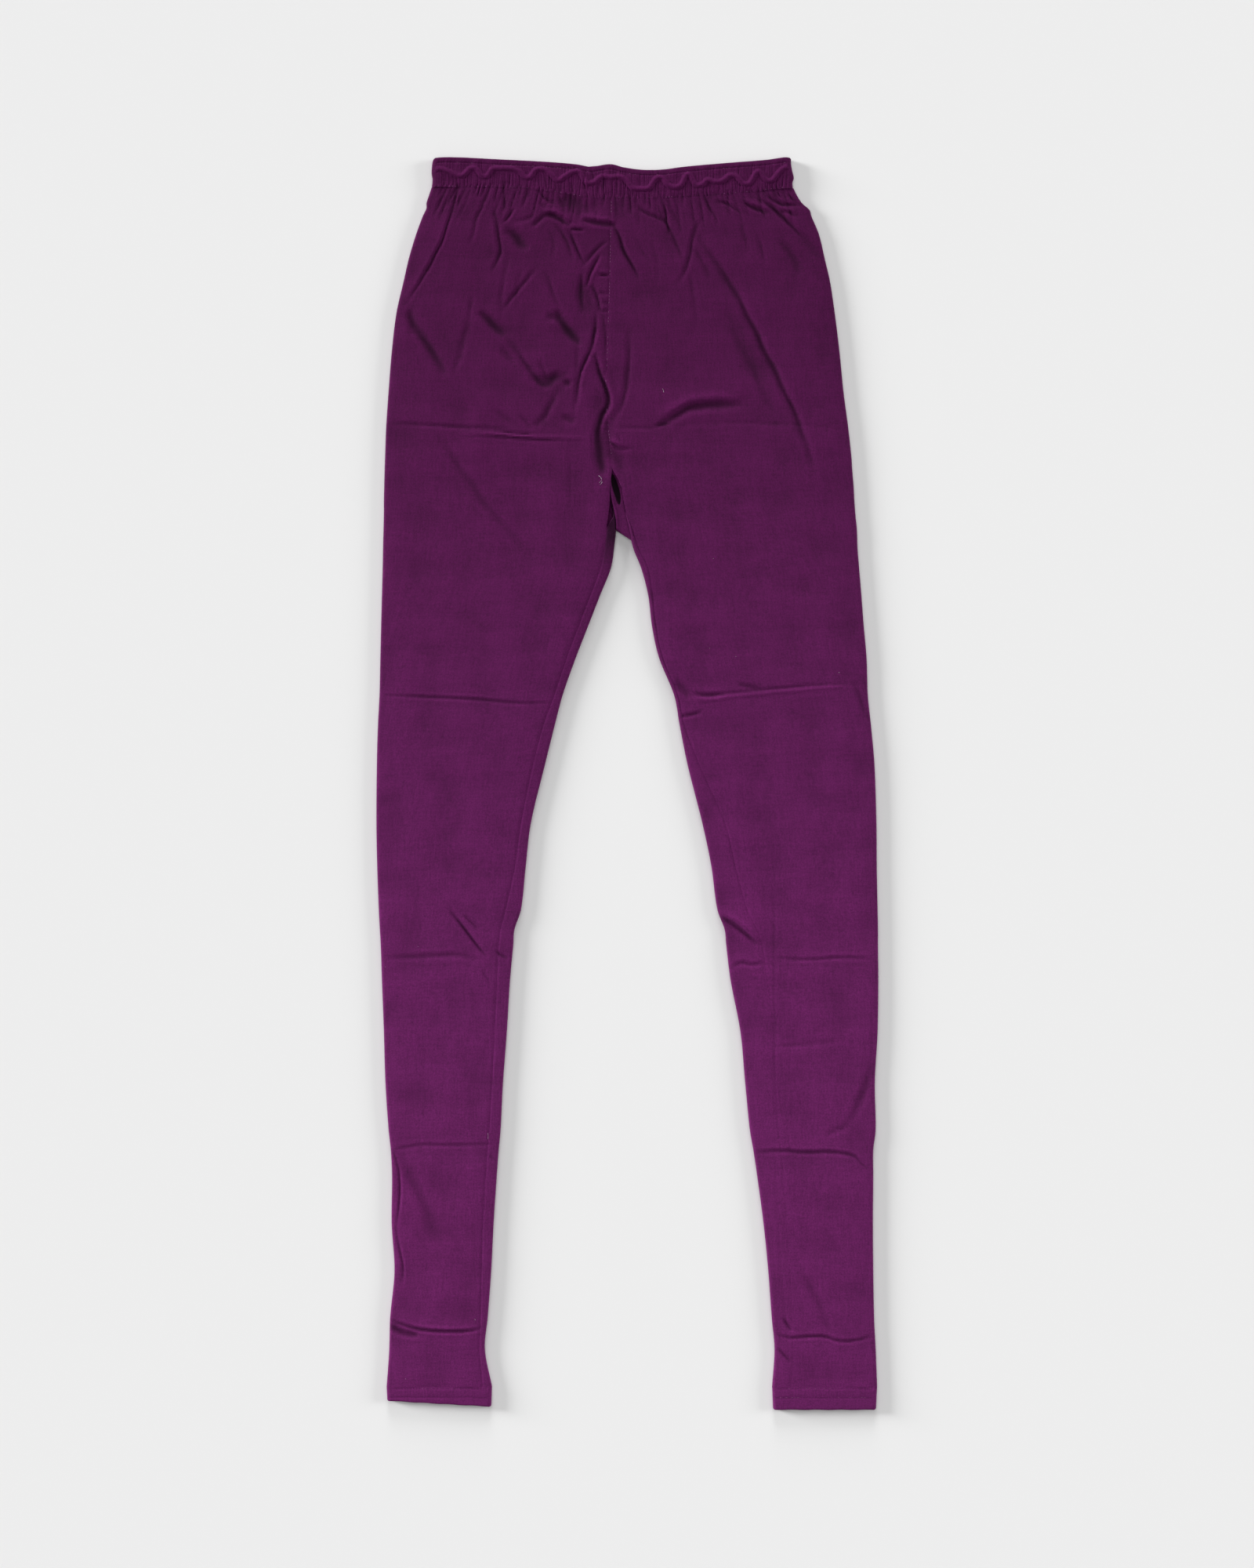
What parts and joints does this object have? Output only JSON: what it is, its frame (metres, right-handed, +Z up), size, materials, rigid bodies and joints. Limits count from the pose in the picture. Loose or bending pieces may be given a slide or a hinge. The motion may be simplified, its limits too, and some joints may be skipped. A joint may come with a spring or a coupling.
{
  "type": "churidar pants laid flat",
  "caption": "Churidar pants in plum cotton jersey, laid flat front up: ribbed drawcord waist casing, one-piece tapering legs, crotch gusset and stitched hems.",
  "frame": {"origin": "under the middle of the garment's bounding box, on the surface that it lies on", "axes": "+Y along the garment towards the waist, +X towards the wearer's left leg, +Z up, out of the front"},
  "size_m": [0.416, 1.0368, 0.0071],
  "materials": {
    "jersey": "matt dyed cotton jersey",
    "casing_jersey": "matt cotton jersey gathered by elastic",
    "hem_jersey": "matt cotton jersey, doubled and stitched"
  },
  "bodies": {
    "root": {"leg_panel_right": "jersey", "leg_panel_left": "jersey", "waist_casing_right": "casing_jersey", "waist_casing_left": "casing_jersey", "crotch_gusset": "jersey", "hem_right": "hem_jersey", "hem_left": "hem_jersey"}
  },
  "joints": []
}
